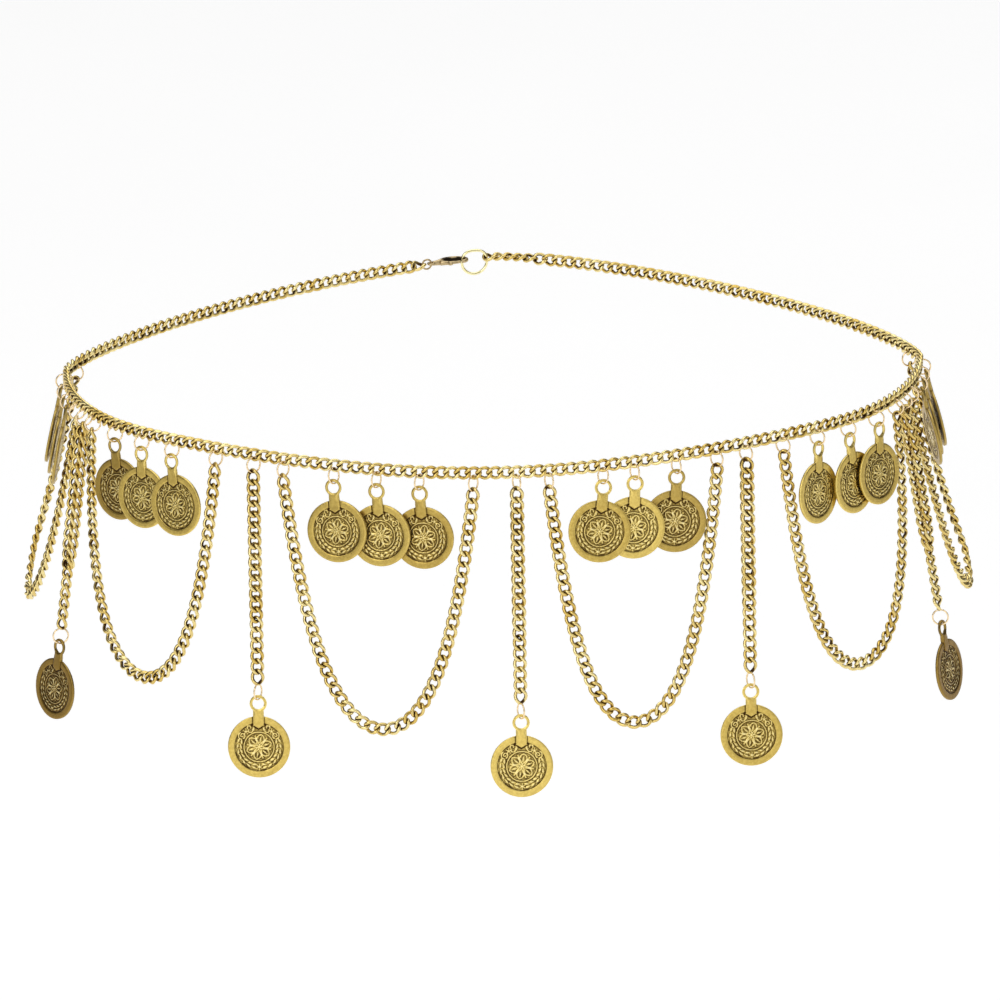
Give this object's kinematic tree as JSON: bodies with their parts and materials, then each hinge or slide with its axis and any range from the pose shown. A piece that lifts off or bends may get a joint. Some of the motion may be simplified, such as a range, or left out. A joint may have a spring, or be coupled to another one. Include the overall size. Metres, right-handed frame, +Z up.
{
  "type": "coin body chain",
  "caption": "Metal body chain worn low on the waist: a curb-chain belt closed behind by a clasp and ring, hung with swags, doubled drops and swaying coins with eyes",
  "frame": {"origin": "the centre of the belt's loop where the waist wears it, at its widest line and in the plane of the belt", "axes": "X across the hips, + to the right of the picture, which is the wearer's left; Y front to back, + to the clasp at the back; Z up"},
  "size_m": [0.3576, 0.2768, 0.1258],
  "materials": {
    "chain_gold": "plated curb chain, antique gold, dark brown in the crevices",
    "coin_gold": "stamped coins, olive antique gold with a dark patina in the sunken field",
    "clasp_bronze": "cast clasp, grey bronze",
    "closing_ring_gold": "bright pale gold plate"
  },
  "bodies": {
    "chain": {"belt_back_left": "chain_gold", "belt_left_back": "chain_gold", "belt_left_side": "chain_gold", "belt_left_front": "chain_gold", "belt_front_left": "chain_gold", "belt_front_centre": "chain_gold", "belt_front_right": "chain_gold", "belt_right_front": "chain_gold", "belt_right_side": "chain_gold", "belt_right_back": "chain_gold", "belt_back_right": "chain_gold", "swag_0_left_leg": "chain_gold", "swag_0_bow": "chain_gold", "swag_0_right_leg": "chain_gold", "swag_1_left_leg": "chain_gold", "swag_1_bow": "chain_gold", "swag_1_right_leg": "chain_gold", "swag_2_left_leg": "chain_gold", "swag_2_bow": "chain_gold", "swag_2_right_leg": "chain_gold", "swag_3_left_leg": "chain_gold", "swag_3_bow": "chain_gold", "swag_3_right_leg": "chain_gold", "swag_4_left_leg": "chain_gold", "swag_4_bow": "chain_gold", "swag_4_right_leg": "chain_gold", "swag_5_left_leg": "chain_gold", "swag_5_bow": "chain_gold", "swag_5_right_leg": "chain_gold", "drop_0": "chain_gold", "drop_1": "chain_gold", "drop_2": "chain_gold", "drop_3": "chain_gold", "drop_4": "chain_gold", "closing_ring": "closing_ring_gold", "clasp_body": "clasp_bronze", "clasp_lever": "clasp_bronze"},
    "trio_0_coin_0_body": {"trio_0_coin_0": "coin_gold"},
    "trio_0_coin_1_body": {"trio_0_coin_1": "coin_gold"},
    "trio_0_coin_2_body": {"trio_0_coin_2": "coin_gold"},
    "trio_1_coin_0_body": {"trio_1_coin_0": "coin_gold"},
    "trio_1_coin_1_body": {"trio_1_coin_1": "coin_gold"},
    "trio_1_coin_2_body": {"trio_1_coin_2": "coin_gold"},
    "trio_2_coin_0_body": {"trio_2_coin_0": "coin_gold"},
    "trio_2_coin_1_body": {"trio_2_coin_1": "coin_gold"},
    "trio_2_coin_2_body": {"trio_2_coin_2": "coin_gold"},
    "trio_3_coin_0_body": {"trio_3_coin_0": "coin_gold"},
    "trio_3_coin_1_body": {"trio_3_coin_1": "coin_gold"},
    "trio_3_coin_2_body": {"trio_3_coin_2": "coin_gold"},
    "trio_4_coin_0_body": {"trio_4_coin_0": "coin_gold"},
    "trio_4_coin_1_body": {"trio_4_coin_1": "coin_gold"},
    "trio_4_coin_2_body": {"trio_4_coin_2": "coin_gold"},
    "trio_5_coin_0_body": {"trio_5_coin_0": "coin_gold"},
    "trio_5_coin_1_body": {"trio_5_coin_1": "coin_gold"},
    "trio_5_coin_2_body": {"trio_5_coin_2": "coin_gold"},
    "drop_0_coin_body": {"drop_0_coin": "coin_gold"},
    "drop_1_coin_body": {"drop_1_coin": "coin_gold"},
    "drop_2_coin_body": {"drop_2_coin": "coin_gold"},
    "drop_3_coin_body": {"drop_3_coin": "coin_gold"},
    "drop_4_coin_body": {"drop_4_coin": "coin_gold"}
  },
  "joints": [
    {"name": "trio_0_coin_0_sway", "type": "hinge", "parent": "chain", "child": "trio_0_coin_0_body", "pos_m": [-0.16235, -0.00092, -0.00628], "axis": [-0.9745, 0.064, 0.2149], "range_deg": [-9, 18]},
    {"name": "trio_0_coin_1_sway", "type": "hinge", "parent": "chain", "child": "trio_0_coin_1_body", "pos_m": [-0.16089, -0.01303, -0.00656], "axis": [-0.9773, 0.0488, 0.2062], "range_deg": [-16, 16]},
    {"name": "trio_0_coin_2_sway", "type": "hinge", "parent": "chain", "child": "trio_0_coin_2_body", "pos_m": [-0.15921, -0.02497, -0.00643], "axis": [-0.9812, 0.0568, 0.1844], "range_deg": [-18, 9]},
    {"name": "trio_1_coin_0_sway", "type": "hinge", "parent": "chain", "child": "trio_1_coin_0_body", "pos_m": [-0.13914, -0.06378, -0.00654], "axis": [-0.6195, -0.7753, 0.1229], "range_deg": [-19, 8]},
    {"name": "trio_1_coin_1_sway", "type": "hinge", "parent": "chain", "child": "trio_1_coin_1_body", "pos_m": [-0.12863, -0.07568, -0.00598], "axis": [-0.5985, -0.7923, 0.1185], "range_deg": [-19, 13]},
    {"name": "trio_1_coin_2_sway", "type": "hinge", "parent": "chain", "child": "trio_1_coin_2_body", "pos_m": [-0.11717, -0.08675, -0.00529], "axis": [-0.5857, -0.8016, 0.1196], "range_deg": [-25, 2]},
    {"name": "trio_2_coin_0_sway", "type": "hinge", "parent": "chain", "child": "trio_2_coin_0_body", "pos_m": [-0.05658, -0.11645, -0.00613], "axis": [-0.3155, -0.9355, 0.1588], "range_deg": [-13, 14]},
    {"name": "trio_2_coin_1_sway", "type": "hinge", "parent": "chain", "child": "trio_2_coin_1_body", "pos_m": [-0.04074, -0.11863, -0.0072], "axis": [-0.2746, -0.9476, 0.1634], "range_deg": [-20, 12]},
    {"name": "trio_2_coin_2_sway", "type": "hinge", "parent": "chain", "child": "trio_2_coin_2_body", "pos_m": [-0.02495, -0.12035, -0.00783], "axis": [-0.2386, -0.9567, 0.1666], "range_deg": [-22, 5]},
    {"name": "trio_3_coin_0_sway", "type": "hinge", "parent": "chain", "child": "trio_3_coin_0_body", "pos_m": [0.04251, -0.11948, -0.00673], "axis": [0.1262, -0.9776, 0.1684], "range_deg": [-3, 24]},
    {"name": "trio_3_coin_1_sway", "type": "hinge", "parent": "chain", "child": "trio_3_coin_1_body", "pos_m": [0.05399, -0.11592, -0.00665], "axis": [0.0966, -0.9812, 0.167], "range_deg": [-13, 19]},
    {"name": "trio_3_coin_2_sway", "type": "hinge", "parent": "chain", "child": "trio_3_coin_2_body", "pos_m": [0.06917, -0.11121, -0.00607], "axis": [0.0916, -0.9823, 0.1633], "range_deg": [-15, 12]},
    {"name": "trio_4_coin_0_sway", "type": "hinge", "parent": "chain", "child": "trio_4_coin_0_body", "pos_m": [0.12127, -0.08294, -0.00554], "axis": [0.8011, -0.5909, 0.0951], "range_deg": [-5, 22]},
    {"name": "trio_4_coin_1_sway", "type": "hinge", "parent": "chain", "child": "trio_4_coin_1_body", "pos_m": [0.13278, -0.07195, -0.00613], "axis": [0.7812, -0.6151, 0.1065], "range_deg": [-21, 11]},
    {"name": "trio_4_coin_2_sway", "type": "hinge", "parent": "chain", "child": "trio_4_coin_2_body", "pos_m": [0.144, -0.06038, -0.00611], "axis": [0.7777, -0.6164, 0.123], "range_deg": [-9, 18]},
    {"name": "trio_5_coin_0_sway", "type": "hinge", "parent": "chain", "child": "trio_5_coin_0_body", "pos_m": [0.16072, -0.01952, -0.00628], "axis": [0.9617, 0.1993, 0.1882], "range_deg": [-9, 18]},
    {"name": "trio_5_coin_1_sway", "type": "hinge", "parent": "chain", "child": "trio_5_coin_1_body", "pos_m": [0.16138, -0.00744, -0.00656], "axis": [0.9684, 0.1355, 0.2092], "range_deg": [-16, 16]},
    {"name": "trio_5_coin_2_sway", "type": "hinge", "parent": "chain", "child": "trio_5_coin_2_body", "pos_m": [0.16264, 0.00089, -0.0061], "axis": [0.9639, 0.1571, 0.2148], "range_deg": [-18, 9]},
    {"name": "drop_0_coin_sway", "type": "hinge", "parent": "chain", "child": "drop_0_coin_body", "pos_m": [-0.16301, -0.0497, -0.09053], "axis": [-0.7593, -0.6337, 0.1477], "range_deg": [-45, 45]},
    {"name": "drop_1_coin_sway", "type": "hinge", "parent": "chain", "child": "drop_1_coin_body", "pos_m": [-0.08631, -0.11801, -0.08922], "axis": [-0.0372, -0.9868, 0.1577], "range_deg": [-45, 45]},
    {"name": "drop_2_coin_sway", "type": "hinge", "parent": "chain", "child": "drop_2_coin_body", "pos_m": [0.0107, -0.13592, -0.09166], "axis": [0.039, -0.9843, 0.1721], "range_deg": [-45, 45]},
    {"name": "drop_3_coin_sway", "type": "hinge", "parent": "chain", "child": "drop_3_coin_body", "pos_m": [0.09501, -0.1135, -0.08908], "axis": [0.0958, -0.9836, 0.153], "range_deg": [-45, 45]},
    {"name": "drop_4_coin_sway", "type": "hinge", "parent": "chain", "child": "drop_4_coin_body", "pos_m": [0.16661, -0.0438, -0.09038], "axis": [0.9053, -0.3927, 0.1617], "range_deg": [-45, 45]}
  ]
}
